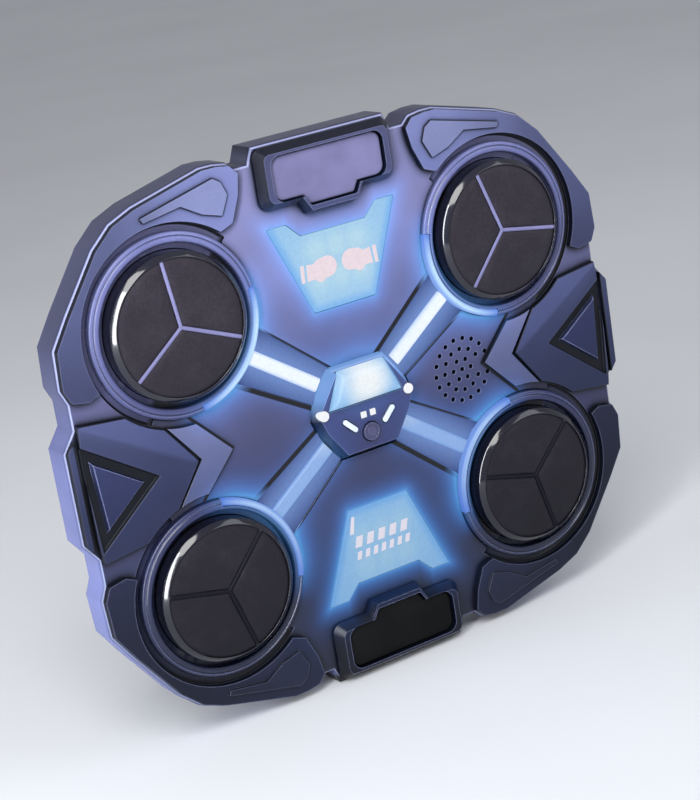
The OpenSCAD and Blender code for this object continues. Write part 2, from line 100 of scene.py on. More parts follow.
# Planes and radii that the frame fixes, in metres out from the wall or from a pad's centre
FACE = back("corner_guard_tl")
RECESS = back("score_lens_top")
GUARD_TOP = FACE + 3 * MM
HALF_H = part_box("front_shell")[1].z
PAD_AT = {p: Vector((middle("strike_pad_" + p).x, 0, middle("strike_pad_" + p).z)) for p in PADS}
PAD_X = abs(PAD_AT["tl"].x)
PAD_Z = abs(PAD_AT["tl"].z)
PAD_TOP = front("strike_pad_tl")
SKIN_R = half_size("strike_skin_tl").z
FLANGE_R = half_size("strike_pad_tl").x
RIM_R = FLANGE_R - 2.35 * MM
BEZEL_R = half_size("pad_bezel_tl").z
BEZEL_TOP = front("pad_bezel_tl")
ARM_ANGLE = math.atan2(PAD_Z, PAD_X)
ARM_REACH = math.hypot(PAD_X, PAD_Z)
ARC_HALF = math.radians(46)
RIB_TURN = {"tl": 97, "tr": 109, "bl": 47, "br": 45}

# Measures for the materials, in millimetres from the middle of the face unless they say otherwise
FACE_MM = FACE / MM
BEZEL_R_MM = BEZEL_R / MM
SKIN_R_MM = SKIN_R / MM
ARM_SPAN = (28.0, 66.0)
ARM_HALF = 6.0
CHANNEL_SPAN = (20.0, 71.4)
CHANNEL_HALF = (9.45, 13.75)
PANEL_SPAN = (50.0, 94.0)
PANEL_HALF = (17.0, 35.0)
PANEL_NOTCH = 87.0
SPOT_X = (-11.0, 0.0, 11.0)
SPOT_Z = (65.0, 79.0)
DOME_Z = 13.0
HUB_R = 15.0
TRENCH_R = 45.2
CHEVRON_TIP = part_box("chevron_right")[0].x / MM
CHEVRON_SLOPE = Vector((20.5, 19.5)).normalized()
CHEVRON_REACH = 20.3


# --- Node trees -------------------------------------------------------------------------------

class Value:
    """A number or colour that a node tree works out at every point; numbers take arithmetic."""

    def __init__(self, socket):
        self.socket = socket
        self.tree = socket.id_data

    def __add__(self, other):
        return calc("ADD", self, other)

    def __sub__(self, other):
        return calc("SUBTRACT", self, other)

    def __rsub__(self, other):
        return calc("SUBTRACT", other, self)

    def __mul__(self, other):
        return calc("MULTIPLY", self, other)

    def __truediv__(self, other):
        return calc("DIVIDE", self, other)

    def __abs__(self):
        return calc("ABSOLUTE", self)


def plug(socket, value):
    """Links a value to a socket, or sets the socket when the value is the same everywhere."""
    if isinstance(value, Value):
        value.tree.links.new(value.socket, socket)
    elif socket.type == "RGBA":
        socket.default_value = (*value[:3], 1)
    else:
        socket.default_value = value


def add(tree, kind, settings=None, output=0, **inputs):
    """A new node's output; i0, i1 name inputs by place, other names by label."""
    made = tree.nodes.new(kind)
    for key, value in (settings or {}).items():
        setattr(made, key, value)
    for key, value in inputs.items():
        place = int(key[1:]) if key[0] == "i" and key[1:].isdigit() else key.replace("_", " ")
        plug(made.inputs[place], value)
    return Value(made.outputs[output])


def tree_of(*values):
    return next(v.tree for v in values if isinstance(v, Value))


def calc(operation, *values):
    inputs = {f"i{i}": v for i, v in enumerate(values)}
    return add(tree_of(*values), "ShaderNodeMath", {"operation": operation}, **inputs)


def most(a, b):
    return calc("MAXIMUM", a, b)


def least(a, b):
    return calc("MINIMUM", a, b)


def remap(value, low, high, to_low=0.0, to_high=1.0, smooth=False):
    settings = {"interpolation_type": "SMOOTHSTEP" if smooth else "LINEAR"}
    return add(value.tree, "ShaderNodeMapRange", settings, i0=value, i1=low, i2=high,
               i3=to_low, i4=to_high)


def mix(factor, a, b, blend="MIX"):
    return add(tree_of(factor, a, b), "ShaderNodeMix", {"data_type": "RGBA", "blend_type": blend},
               2, i0=factor, i6=a, i7=b)


def tinted(colour, tint):
    return mix(1.0, colour, tint, "MULTIPLY")


def grey(value):
    return add(value.tree, "ShaderNodeCombineXYZ", i0=value, i1=value, i2=value)


def ramp(value, stops):
    made = add(value.tree, "ShaderNodeValToRGB", i0=value)
    elements = made.socket.node.color_ramp.elements
    while len(elements) < len(stops):
        elements.new(0.5)
    for element, (place, colour) in zip(elements, stops):
        element.position = place
        element.color = (*colour, 1)
    return made


def part(vector, axis):
    return add(vector.tree, "ShaderNodeSeparateXYZ", output=axis, i0=vector)


def here(tree):
    """The point's place in the row frame, in metres."""
    return add(tree, "ShaderNodeTexCoord", output="Object")


def normal_part(tree, axis):
    return part(add(tree, "ShaderNodeTexCoord", output="Normal"), axis)


def facing(tree):
    """How squarely the surface faces the front, from -1 to 1."""
    return normal_part(tree, 1) * -1.0


def place_mm(tree):
    """The point's x (right) and z (up) in millimetres."""
    return part(here(tree), 0) * 1000, part(here(tree), 2) * 1000


def out_mm(tree):
    """How far out from the wall the point is, in millimetres."""
    return part(here(tree), 1) * -1000


def height_share(z):
    """0 at the foot of the housing, 1 at its top."""
    return remap(z, -HALF_H / MM, HALF_H / MM)


def length_of(a, b):
    return calc("SQRT", a * a + b * b)


def positive(value):
    return most(value, 0.0)


def fade(distance, reach):
    """1 at the light, falling off with distance."""
    return calc("EXPONENT", positive(distance) / -reach)


def arm_frame(x, z):
    """Distance along and across the nearest arm, from the middle, in millimetres."""
    ax, az = abs(x), abs(z)
    c, s = math.cos(ARM_ANGLE), math.sin(ARM_ANGLE)
    return ax * c + az * s, abs(az * c - ax * s)


def pad_frame(x, z):
    """Distance from the nearest pad's centre, and how squarely the point faces the hub."""
    qx, qz = abs(x) - PAD_X / MM, abs(z) - PAD_Z / MM
    r = length_of(qx, qz)
    toward = qx * -math.cos(ARM_ANGLE) + qz * -math.sin(ARM_ANGLE)
    return r, toward / most(r, 1.0)


def halo_group():
    """How brightly the lights wash over a point of the housing, from 0 to 1."""
    tree = bpy.data.node_groups.new("light_wash", "ShaderNodeTree")
    tree.interface.new_socket(name="Wash", in_out="OUTPUT", socket_type="NodeSocketFloat")
    x, z = place_mm(tree)
    along, across = arm_frame(x, z)
    past_ends = most(positive(ARM_SPAN[0] - along), positive(along - ARM_SPAN[1]))
    arm = fade(length_of(positive(across - ARM_HALF), past_ends), 5.5)
    r, toward = pad_frame(x, z)
    arc = fade(abs(r - (BEZEL_R_MM - 1)) - 2.0, 6.0) * remap(toward, 0.35, 0.85, smooth=True)
    ax, az = abs(x), abs(z)
    centre, reach = sum(PANEL_SPAN) / 2, (PANEL_SPAN[1] - PANEL_SPAN[0]) / 2
    lean = (PANEL_HALF[1] - PANEL_HALF[0]) / (2 * reach)
    half = (az - PANEL_SPAN[0]) * lean + PANEL_HALF[0]
    gap = length_of(positive(abs(az - centre) - reach), positive(ax - half))
    deep = az - PANEL_NOTCH
    panel = fade(most(gap, least(deep, deep + 18.0 - ax)), 5.0)
    hub = fade(length_of(x, z - (DOME_Z - 1)) - HUB_R, 8.0)
    out = tree.nodes.new("NodeGroupOutput")
    plug(out.inputs[0], least(arm + arc + (panel + hub * 0.6), 1.0))
    return tree


HALO = halo_group()


def trench_masks(x, z):
    """1 on the floor of the sunken ring round each pad, and 1 on the painted shadow line along its
    outer edge.
    """
    r, toward = pad_frame(x, z)
    span = remap(toward, 0.12, 0.17, 1.0, 0.0)
    past = remap(r, TRENCH_R, TRENCH_R + 0.3)
    line = past * remap(r, TRENCH_R + 1.3, TRENCH_R + 1.5, 1.0, 0.0)
    return span * (1.0 - past), line * span


def channel_line(x, z):
    """1 on a painted shadow line along both edges of each light channel, broad on one side and thin
    on the other.
    """
    along, across = arm_frame(x, z)
    half = remap(along, *CHANNEL_SPAN, *CHANNEL_HALF)
    above = abs(z) - abs(x) * math.tan(ARM_ANGLE)
    width = remap(remap(calc("SIGN", x) * above, -0.5, 0.5), 0.0, 1.0, 0.5, 1.25)
    off = abs(across - (half + width))
    span = remap(along, 19.0, 21.0) * remap(along, 60.0, 70.0, 1.0, 0.0)
    return span * remap(width - off, -0.1, 0.2)


def chevron_line(x, z):
    """1 on a painted shadow line along the hub side of each chevron, whose flanks run at
    CHEVRON_SLOPE.
    """
    off = (CHEVRON_TIP - abs(x)) * CHEVRON_SLOPE.x + abs(z) * CHEVRON_SLOPE.y
    line = remap(off, -0.4, -0.1) * remap(off, 1.2, 1.5, 1.0, 0.0)
    return line * remap(abs(z), CHEVRON_REACH, CHEVRON_REACH + 0.3, 1.0, 0.0)


def shader(name):
    """A new material with its tree and its Principled shader."""
    made = bpy.data.materials.new(name)
    made.use_nodes = True
    tree = made.node_tree
    return made, tree, tree.nodes["Principled BSDF"]


def connect(shine, **values):
    for key, value in values.items():
        plug(shine.inputs[key.replace("_", " ")], value)


def noise(tree, scale, detail=3.0, rough=0.5):
    return add(tree, "ShaderNodeTexNoise", Vector=here(tree), Scale=scale, Detail=detail,
               Roughness=rough)


def bump(height, strength, distance, **normal):
    return add(height.tree, "ShaderNodeBump", Height=height, Strength=strength,
               Distance=distance, **normal)


def crevices(tree, reach):
    """1 on open faces, falling to 0 in the gaps between pieces; the materials paint shade with it."""
    return add(tree, "ShaderNodeAmbientOcclusion", {"samples": 6}, "AO", Distance=reach)


def corners(tree):
    """1 along the edges of the shape, where the materials lay a painted highlight."""
    rounded = add(tree, "ShaderNodeBevel", {"samples": 4}, Radius=0.6 * MM)
    plain = add(tree, "ShaderNodeNewGeometry", output="Normal")
    alike = add(tree, "ShaderNodeVectorMath", {"operation": "DOT_PRODUCT"}, "Value",
                i0=rounded, i1=plain)
    return remap(alike, 0.995, 0.90)


def scaled(colour, share):
    return tuple(c * share for c in colour)


# --- Materials --------------------------------------------------------------------------------

# Housing colours from the foot to the top, partly the navy plastic and partly painted light from
# above; the walls' painted light and shade; and the tint of the painted glow that the lamps spill on
# them
BODY_WITH_PAINTED_LIGHT = [(0.0, (0.007, 0.009, 0.022)), (0.22, (0.011, 0.015, 0.040)), (0.46, (0.032, 0.036, 0.092)),
        (0.62, (0.068, 0.071, 0.155)), (0.80, (0.146, 0.151, 0.300)), (1.0, (0.178, 0.177, 0.330))]
WALL_WITH_PAINTED_LIGHT = [(0.0, (0.100, 0.120, 0.270)), (0.3, (0.140, 0.160, 0.350)), (0.55, (0.105, 0.118, 0.260)),
        (0.78, (0.034, 0.037, 0.072)), (1.0, (0.034, 0.036, 0.070))]
WASH = [(0.0, (0.0, 0.0, 0.0)), (0.12, (0.003, 0.012, 0.046)), (0.40, (0.014, 0.065, 0.22)),
        (0.75, (0.030, 0.155, 0.43)), (1.0, (0.070, 0.29, 0.66))]
BLACK = (0.0, 0.0, 0.0)
# Painted shade for the shadow lines and the gaps, painted highlights for chamfers and corners, and
# painted glare for the hub's upper flanks
SHADE_LINE = (0.0022, 0.0028, 0.0065)
CREVICE_SHADE = (0.002, 0.003, 0.007)
CHAMFER_HIGHLIGHT = (0.46, 0.52, 0.82)
EDGE_HIGHLIGHT = (0.40, 0.45, 0.78)
GLARE = (0.55, 1.1, 2.3)


def housing_plastic(name, tint=(1, 1, 1), rough=0.4, grain=0.35, halo=1.0, coat=0.06, trench=False,
                    walls=False, foot_shade=0.0, raised=0.0, crown=False, specular=0.35, shade=0.0,
                    facet_light=False, edge=0.45):
    """Satin navy moulded plastic, with painted light that makes it near black at the foot and
    lavender at the top.

    foot_shade is how far above the face a plate's foot and flanks get a painted shadow, in
    millimetres; raised is the height from which its upper step is paler; crown paints a glare
    highlight on the upper flanks; shade is how much of the colour is left under the painted shade
    in the gaps; facet_light paints a face that tips up paler and one that tips down darker, as
    painted light; edge is how strongly a painted highlight is laid on the corners.
    """
    made, tree, shine = shader(name)
    x, z = place_mm(tree)
    height = height_share(z)
    # Painted light: the colour runs from near black at the foot to lavender at the top.
    body = tinted(ramp(height, BODY_WITH_PAINTED_LIGHT), tint)
    # Painted light: the walls are pale low down, where the lamps catch them, and dark near the top.
    if walls:
        body = mix(remap(abs(facing(tree)), 0.25, 0.5, 1.0, 0.0), body, ramp(height, WALL_WITH_PAINTED_LIGHT))
    body = tinted(body, grey(remap(noise(tree, 26.0, 4.0), 0.3, 0.7, 0.88, 1.1)))
    body = tinted(body, grey(remap(noise(tree, 1900.0, 2.0), 0.62, 0.78, 1.0, 1.35)))
    if raised:
        step = remap(out_mm(tree), FACE_MM + raised, FACE_MM + raised + 0.2)
        body = mix(step, body, tinted(body, (1.12, 1.10, 0.98)))
        body = tinted(body, grey(remap(abs(x), 70.0, 115.0, 1.85, 0.85)))
    # Painted light: a face that tips up is paler, one that tips down darker.
    if facet_light:
        body = tinted(body, grey(remap(normal_part(tree, 2), 0.005, 0.045, 0.88, 1.45)))
    # Painted highlight along the corners.
    body = mix(corners(tree) * edge, body, EDGE_HIGHLIGHT)
    if walls:
        # Painted highlight on the chamfer round the front edge.
        chamfer = remap(facing(tree), 0.35, 0.6) * remap(facing(tree), 0.78, 0.92, 1.0, 0.0)
        body = mix(chamfer * 0.45, body, CHAMFER_HIGHLIGHT)
    # Painted shadow: dark at the plate's foot and down its flanks.
    if foot_shade:
        foot = remap(out_mm(tree), FACE_MM + foot_shade, FACE_MM + foot_shade + 0.5, 1.0, 0.0)
        low, high = (0.72, 0.90) if crown else (0.88, 0.99)
        body = mix(most(foot, remap(facing(tree), low, high, 0.92, 0.0)), body, SHADE_LINE)
    # Painted shade: near black in the gaps and corners.
    open_air = crevices(tree, 5 * MM)
    body = mix(remap(open_air, 0.66, 0.92, shade, 1.0), CREVICE_SHADE, body)
    if trench:
        # Painted shade: the floor of the sunken ring takes a darker body colour in place of the gap
        # shade.
        floor, rim_line = trench_masks(x, z)
        sunk = remap(out_mm(tree), FACE_MM - 1.5, FACE_MM - 1.0, 1.0, 0.0)
        body = mix(floor * sunk, body, tinted(ramp(height, BODY_WITH_PAINTED_LIGHT), (0.8, 0.8, 0.8)))
        # Painted shadow lines along the channels, the chevrons and the ring's outer edge.
        lines = most(most(channel_line(x, z), chevron_line(x, z)), rim_line)
        body = mix(lines, body, SHADE_LINE)
    connect(shine, Base_Color=body, Coat_Weight=coat, Coat_Roughness=0.25,
            Roughness=remap(noise(tree, 60.0, 5.0), 0.3, 0.7, rough - 0.05, rough + 0.08),
            Normal=bump(noise(tree, 2600.0, 2.0), grain, 0.05 * MM), Specular_IOR_Level=specular)
    # Painted light: the lamps' spill on the housing and the glare on the hub's upper flanks are
    # emission of the housing itself.
    if halo:
        wash = ramp(add(tree, "ShaderNodeGroup", {"node_tree": HALO}), WASH)
        wash = mix(remap(open_air, 0.2, 0.8), BLACK, wash)
        if trench:
            wash = mix(lines, wash, BLACK)
        if crown:
            lit = remap(z, -1.0, 9.0) * remap(facing(tree), 0.85, 0.97, 1.0, 0.0)
            wash = mix(lit, wash, GLARE)
        connect(shine, Emission_Color=wash, Emission_Strength=halo)
    return made


def plain_plastic(name, colour, rough=0.45, grain=0.3, coat=0.0, scale=1500.0, specular=0.5):
    """Moulded plastic of one hue, with a fine grain and slight unevenness."""
    made, tree, shine = shader(name)
    pale = tuple(min(1.0, c * 1.15 + 0.003) for c in colour)
    body = mix(remap(noise(tree, 45.0, 4.0), 0.3, 0.7), scaled(colour, 0.82), pale)
    # Painted shade: darker in the gaps and corners.
    body = mix(remap(crevices(tree, 3 * MM), 0.3, 0.8), scaled(colour, 0.25), body)
    connect(shine, Base_Color=body, Coat_Weight=coat, Coat_Roughness=0.15,
            Roughness=remap(noise(tree, 90.0, 4.0), 0.3, 0.7, rough - 0.04, rough + 0.07),
            Specular_IOR_Level=specular, Normal=bump(noise(tree, scale, 2.0), grain, 0.05 * MM))
    return made


def rim_plastic():
    """The strike pads' carrier: a glossy rim round duller ribs, both painted darker towards the foot
    as painted light from above.
    """
    made, tree, shine = shader("pad_plastic")
    x, z = place_mm(tree)
    rim = remap(pad_frame(x, z)[0], SKIN_R_MM - 0.3, SKIN_R_MM)
    # Painted light: the ribs are pale on the upper pads and near black on the lower ones, and the rim
    # darkens the same way.
    ribs = ramp(height_share(z), [(0.0, (0.003, 0.003, 0.006)), (0.44, (0.006, 0.006, 0.012)),
                                  (0.56, (0.150, 0.150, 0.290)), (1.0, (0.230, 0.225, 0.420))])
    wall = ramp(height_share(z), [(0.0, (0.003, 0.0035, 0.008)), (1.0, (0.010, 0.010, 0.020))])
    body = mix(rim, ribs, wall)
    # Painted shade: near black in the gaps.
    body = mix(remap(crevices(tree, 3 * MM), 0.4, 0.85), (0.002, 0.002, 0.004), body)
    body = tinted(body, grey(remap(noise(tree, 60.0, 4.0), 0.3, 0.7, 0.9, 1.1)))
    connect(shine, Base_Color=body, Roughness=remap(rim, 0.0, 1.0, 0.5, 0.15),
            Coat_Weight=rim * 0.9, Coat_Roughness=0.08, Specular_IOR_Level=0.12,
            Normal=bump(noise(tree, 1700.0, 2.0), 0.15, 0.04 * MM))
    return made


def pad_skin():
    """Soft charcoal rubber: a fine pebbled grain with scuffs where it is punched."""
    made, tree, shine = shader("pad_skin")
    pebbles = add(tree, "ShaderNodeTexVoronoi", {"feature": "SMOOTH_F1"}, Vector=here(tree),
                  Scale=950.0)
    scuff = remap(noise(tree, 70.0, 6.0, 0.65), 0.45, 0.75)
    height = height_share(place_mm(tree)[1])
    # Painted light: the skin is darker on the lower pads than on the upper ones.
    body = mix(height, (0.002, 0.002, 0.005), (0.031, 0.026, 0.037))
    body = mix(scuff * 0.22, body, mix(height, (0.030, 0.030, 0.042), (0.070, 0.064, 0.080)))
    body = mix(remap(pebbles, 0.15, 0.6, 0.35, 0.0), body, (0.006, 0.006, 0.009))
    soft = bump(noise(tree, 220.0, 4.0), 0.25, 0.2 * MM, Normal=bump(pebbles, 0.6, 0.12 * MM))
    connect(shine, Base_Color=body, Roughness=remap(scuff, 0.0, 1.0, 0.5, 0.68), Normal=soft,
            Specular_IOR_Level=0.2)
    return made


def glowing(name, core, rim, strength, pattern):
    """A translucent light guide; pattern(x, z) says how bright each point is, from 0 to 1."""
    made, tree, shine = shader(name)
    x, z = place_mm(tree)
    between = tuple((a + b) / 2 for a, b in zip(core, rim))
    fine = noise(tree, 700.0, 3.0)
    power = remap(fine, 0.3, 0.7, 0.95, 1.05) * strength * remap(z, -90.0, 40.0, 0.8, 1.0)
    connect(shine, Base_Color=scaled(between, 0.11), Roughness=0.38, Specular_IOR_Level=0.3,
            Emission_Color=ramp(pattern(x, z), [(0.0, rim), (0.45, between), (1.0, core)]),
            Emission_Strength=power, Normal=bump(fine, 0.2, 0.08 * MM))
    return made


def bar_pattern(x, z):
    """White along the middle of the upper bars, pale blue on the lower ones."""
    across = arm_frame(x, z)[1]
    return remap(across, 1.8, 4.2, 1.0, 0.35, smooth=True) * remap(z, -20.0, 10.0, 0.12, 1.0)


def trough_pattern(x, z):
    along, across = arm_frame(x, z)
    return remap(across, 3.2, 13.0, 1.0, 0.12) * remap(along, 24.0, 40.0, 0.85, 1.0)


def arc_pattern(x, z):
    r, toward = pad_frame(x, z)
    across = remap(abs(r - (BEZEL_R_MM - 1.7)), 0.2, 2.0, 1.0, 0.1)
    along = remap(toward, 0.70, 0.93, 0.05, 1.0)
    return across * (along * remap(z, -60.0, 0.0, 0.42, 1.0))


def panel_pattern(x, z):
    """Six soft spots where the lights sit behind the lens, brighter towards the middle."""
    height = abs(z)
    spots = functools.reduce(most, [
        fade(length_of(x - spot_x, height - spot_z) - 3.0, 7.0)
        for spot_x in SPOT_X for spot_z in SPOT_Z
    ])
    half = remap(height, *PANEL_SPAN, *PANEL_HALF)
    inside = least(half - abs(x), height - PANEL_SPAN[0])
    even = least(spots * 0.5 + 0.42, 1.0)
    return even * remap(z, -10.0, 10.0, 0.62, 1.0) * remap(inside, 0.5, 4.5, 0.3, 1.0)


def dome_pattern(x, z):
    return remap(length_of(x, z - DOME_Z), 3.0, 17.5, 1.0, 0.15, smooth=True)


def even_pattern(x, z):
    return remap(noise(x.tree, 300.0), 0.3, 0.7, 0.85, 1.0)


def metal(name, colour, rough):
    """Bright plated metal with a fine drawn grain."""
    made, tree, shine = shader(name)
    stretched = add(tree, "ShaderNodeMapping", i0=here(tree), i3=(900.0, 60.0, 900.0))
    streak = add(tree, "ShaderNodeTexNoise", Vector=stretched, Scale=1.0, Detail=3.0)
    connect(shine, Base_Color=mix(streak, scaled(colour, 0.8), colour), Metallic=1.0,
            Normal=bump(streak, 0.3, 0.02 * MM),
            Roughness=remap(streak, 0.3, 0.7, rough - 0.05, rough + 0.1))
    return made


def tape_cloth(name, colour, loops):
    """Hook-and-loop tape: rows of tiny hooks, or a matted pile of loops, on a woven ground."""
    made, tree, shine = shader(name)
    if loops:
        tuft = add(tree, "ShaderNodeTexNoise", Vector=here(tree), Scale=1500.0, Detail=5.0,
                   Distortion=2.5)
    else:
        tuft = add(tree, "ShaderNodeTexVoronoi", Vector=here(tree), Scale=900.0)
    weave = add(tree, "ShaderNodeTexWave", {"bands_direction": "Z"}, 1, Vector=here(tree),
                Scale=420.0, Distortion=0.6)
    body = mix(tuft, scaled(colour, 0.4), tuple(c * 1.9 + 0.01 for c in colour))
    body = mix(weave * 0.25, body, scaled(colour, 2.4))
    pile = bump(tuft, 0.9, 0.4 * MM)
    connect(shine, Base_Color=body, Roughness=remap(tuft, 0.0, 1.0, 0.8, 0.95),
            Normal=bump(weave, 0.4, 0.2 * MM, Normal=pile), Sheen_Weight=0.5, Sheen_Roughness=0.5)
    return made


def board(name, colour, copper):
    """Lacquered circuit board with faint copper tracks."""
    made, tree, shine = shader(name)
    tracks = add(tree, "ShaderNodeTexBrick", Vector=here(tree), Scale=260.0, Mortar_Size=0.06,
                 Color1=BLACK, Color2=BLACK, Mortar=(1, 1, 1))
    blotch = remap(noise(tree, 120.0, 3.0), 0.45, 0.55)
    line = add(tree, "ShaderNodeRGBToBW", i0=tracks) * blotch
    connect(shine, Base_Color=mix(line * 0.6, colour, copper), Coat_Weight=0.5,
            Coat_Roughness=0.1, Roughness=remap(blotch, 0.0, 1.0, 0.35, 0.5),
            Normal=bump(line, 0.3, 0.1 * MM))
    return made


MATERIAL = {
    "front": housing_plastic("front_plastic", trench=True, walls=True),
    "rear": housing_plastic("rear_plastic", (0.6, 0.65, 0.75), 0.45, 0.5, 0.0, 0.0, walls=True),
    "guard": housing_plastic("guard_plastic", (0.45, 0.51, 0.56), foot_shade=2.3, raised=3.3,
                             specular=0.22),
    "grip": housing_plastic("grip_plastic", (0.30, 0.32, 0.36), 0.28, coat=0.25, foot_shade=1.4,
                            specular=0.15),
    "side": housing_plastic("side_plastic", (0.58, 0.67, 0.72), 0.42, foot_shade=1.8, specular=0.22,
                            facet_light=True),
    "chevron": housing_plastic("chevron_plastic", (1.80, 1.90, 1.66), 0.34, foot_shade=1.3),
    "insert": housing_plastic("insert_plastic", (0.34, 0.42, 0.58), 0.38, 0.2, 0.0, 0.2,
                              specular=0.2, edge=0.85),
    # The two grip inlays are lit and shaded copies of one plastic: painted light makes the upper one
    # lavender and the lower one near black.
    "panel_top": plain_plastic("panel_plastic", (0.145, 0.140, 0.270), 0.55, 0.2, specular=0.25),
    "panel_bottom": plain_plastic("panel_plastic_dark", (0.0016, 0.002, 0.0025), 0.6, 0.2,
                                  specular=0.12),
    "bezel": housing_plastic("bezel_plastic", (0.80, 0.86, 1.0), 0.25, 0.12, 0.35, 0.4,
                             specular=0.25, shade=0.35),
    "hub": housing_plastic("hub_plastic", (0.55, 0.62, 0.98), 0.27, 0.12, 0.3, 0.4, foot_shade=1.2,
                           crown=True),
    "pad": rim_plastic(),
    "skin": pad_skin(),
    "bar": glowing("bar_light", (0.84, 0.90, 0.96), (0.12, 0.30, 0.70), 0.95, bar_pattern),
    "trough": glowing("tray_plastic", (0.16, 0.27, 0.60), (0.03, 0.055, 0.20), 0.9, trough_pattern),
    "arc": glowing("arc_light", (0.50, 0.72, 0.95), (0.06, 0.16, 0.62), 1.0, arc_pattern),
    "panel_light": glowing("score_light", (0.50, 0.72, 0.80), (0.12, 0.38, 0.84), 0.84,
                           panel_pattern),
    "dome": glowing("dome_light", (0.88, 0.91, 0.90), (0.12, 0.42, 0.80), 0.9, dome_pattern),
    "icon": glowing("icon_light", (0.86, 0.72, 0.77), (0.78, 0.68, 0.80), 0.8, even_pattern),
    "mark": glowing("mark_light", (0.84, 0.80, 0.90), (0.74, 0.74, 0.92), 0.85, even_pattern),
    "indicator": glowing("indicator_light", (1.0, 1.0, 1.0), (0.70, 0.80, 1.0), 0.8, even_pattern),
    "button": plain_plastic("button_plastic", (0.045, 0.048, 0.125), 0.25, 0.15, 0.4),
    "key": plain_plastic("key_plastic", (0.62, 0.70, 0.90), 0.22, 0.1, 0.4),
    "spring": metal("spring_steel", (0.66, 0.67, 0.70), 0.28),
    "steel": metal("screw_steel", (0.60, 0.61, 0.63), 0.32),
    "board": board("board_green", (0.010, 0.085, 0.030), (0.35, 0.20, 0.07)),
    "white_board": board("board_white", (0.70, 0.70, 0.66), (0.45, 0.40, 0.30)),
    "battery": plain_plastic("battery_wrap", (0.05, 0.19, 0.42), 0.25, 0.1, 0.5),
    "cradle": plain_plastic("cradle_plastic", (0.022, 0.023, 0.03), 0.5),
    "speaker": plain_plastic("speaker_black", (0.03, 0.03, 0.034), 0.7, 0.6, 0.0, 900.0),
    "hooks": tape_cloth("hook_tape", (0.030, 0.030, 0.036), False),
    "loops": tape_cloth("loop_tape", (0.036, 0.036, 0.044), True),
}


# --- Mesh helpers -----------------------------------------------------------------------------

# Points of a CAD mesh that are closer than this are one point
WELD = 0.004 * MM


def cad_copy(node, spared=lambda p: False):
    """An editable copy of a CAD node's mesh, with its flat faces whole again.

    spared picks the points whose faces stay in triangles, where a flat face has holes in it.
    """
    bm = bmesh.new()
    bm.from_mesh(NODES[node].data)
    bmesh.ops.remove_doubles(bm, verts=bm.verts, dist=WELD)
    verts = [v for v in bm.verts if not spared(v.co)]
    edges = [e for e in bm.edges if not all(spared(v.co) for v in e.verts)]
    bmesh.ops.dissolve_limit(bm, angle_limit=math.radians(0.6), verts=verts, edges=edges)
    return bm


def spot(centre, r, angle, out):
    """The point at a radius and an angle round a centre, at a distance out from the wall."""
    return centre.x + r * math.cos(angle), -out, centre.z + r * math.sin(angle)


def bridge(bm, a, b):
    """A band of faces between two loops with as many points each."""
    for k in range(len(a)):
        j = (k + 1) % len(a)
        bm.faces.new((a[k], a[j], b[j], b[k]))


def tube(bm, rings):
    """Bands of faces from each loop to the next, with a cap on the first and the last."""
    for a, b in zip(rings, rings[1:]):
        bridge(bm, a, b)
    bm.faces.new(rings[0][::-1])
    bm.faces.new(rings[-1])


def soften(bm, width, where=None, segments=3, angle=24):
    """Rounds the sharp edges that lie where the test says."""
    chosen = [
        e for e in bm.edges
        if len(e.link_faces) == 2 and e.calc_face_angle(0) > math.radians(angle)
        and (where is None or all(where(v.co) for v in e.verts))
    ]
    if chosen:
        bmesh.ops.bevel(bm, geom=chosen, offset=width, offset_type="OFFSET", segments=segments,
                        profile=0.5, affect="EDGES", clamp_overlap=True)


def on_plane(out, slack=0.02 * MM):
    """A test for points at one distance out from the wall."""
    return lambda p: abs(-p.y - out) < slack


def further(out):
    """A test for points that stand further out than a plane."""
    return lambda p: -p.y > out


def finish_mesh(name, bm, material, smooth=40):
    bmesh.ops.recalc_face_normals(bm, faces=bm.faces)
    mesh = bpy.data.meshes.new(name)
    bm.to_mesh(mesh)
    bm.free()
    for face in mesh.polygons:
        face.use_smooth = True
    mesh.set_sharp_from_angle(angle=math.radians(smooth))
    mesh.materials.append(material)
    made = bpy.data.objects.new(name, mesh)
    bpy.context.scene.collection.objects.link(made)
    weighted = made.modifiers.new("even_shading", "WEIGHTED_NORMAL")
    weighted.keep_sharp = True
    return made


def stands_for(made, node):
    """The piece takes the place and the body of a CAD node."""
    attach(made, BODY_OF[node])
    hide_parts(node)
    return made


def added_to(made, node):
    """An extra piece that goes with a CAD node without hiding it."""
    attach(made, BODY_OF[node])


def dress(node, material):
    """Keeps a CAD node's shape, with slightly rounded edges and a better material."""
    kept = NODES[node]
    kept.data.materials.clear()
    kept.data.materials.append(MATERIAL[material])
    weld = kept.modifiers.new("weld", "WELD")
    weld.merge_threshold = WELD
    rounded = kept.modifiers.new("rounded", "BEVEL")
    rounded.width = 0.2 * MM
    rounded.segments = 2
    rounded.limit_method = "ANGLE"
    rounded.angle_limit = math.radians(30)
    weighted = kept.modifiers.new("even_shading", "WEIGHTED_NORMAL")
    weighted.keep_sharp = True


def offsets(r, out, *steps):
    """Points of a (radius, out) profile, stepped off from one of them in millimetres."""
    return [(r + dr * MM, out + dout * MM) for dr, dout in steps]


def swept(bm, profile, centre, start, end, steps):
    """Sweeps a closed (radius, out) profile round an axis that points out from the wall."""
    angles = [start + (end - start) * i / steps for i in range(steps + 1)]
    tube(bm, [[bm.verts.new(spot(centre, r, angle, out)) for r, out in profile]
              for angle in angles])


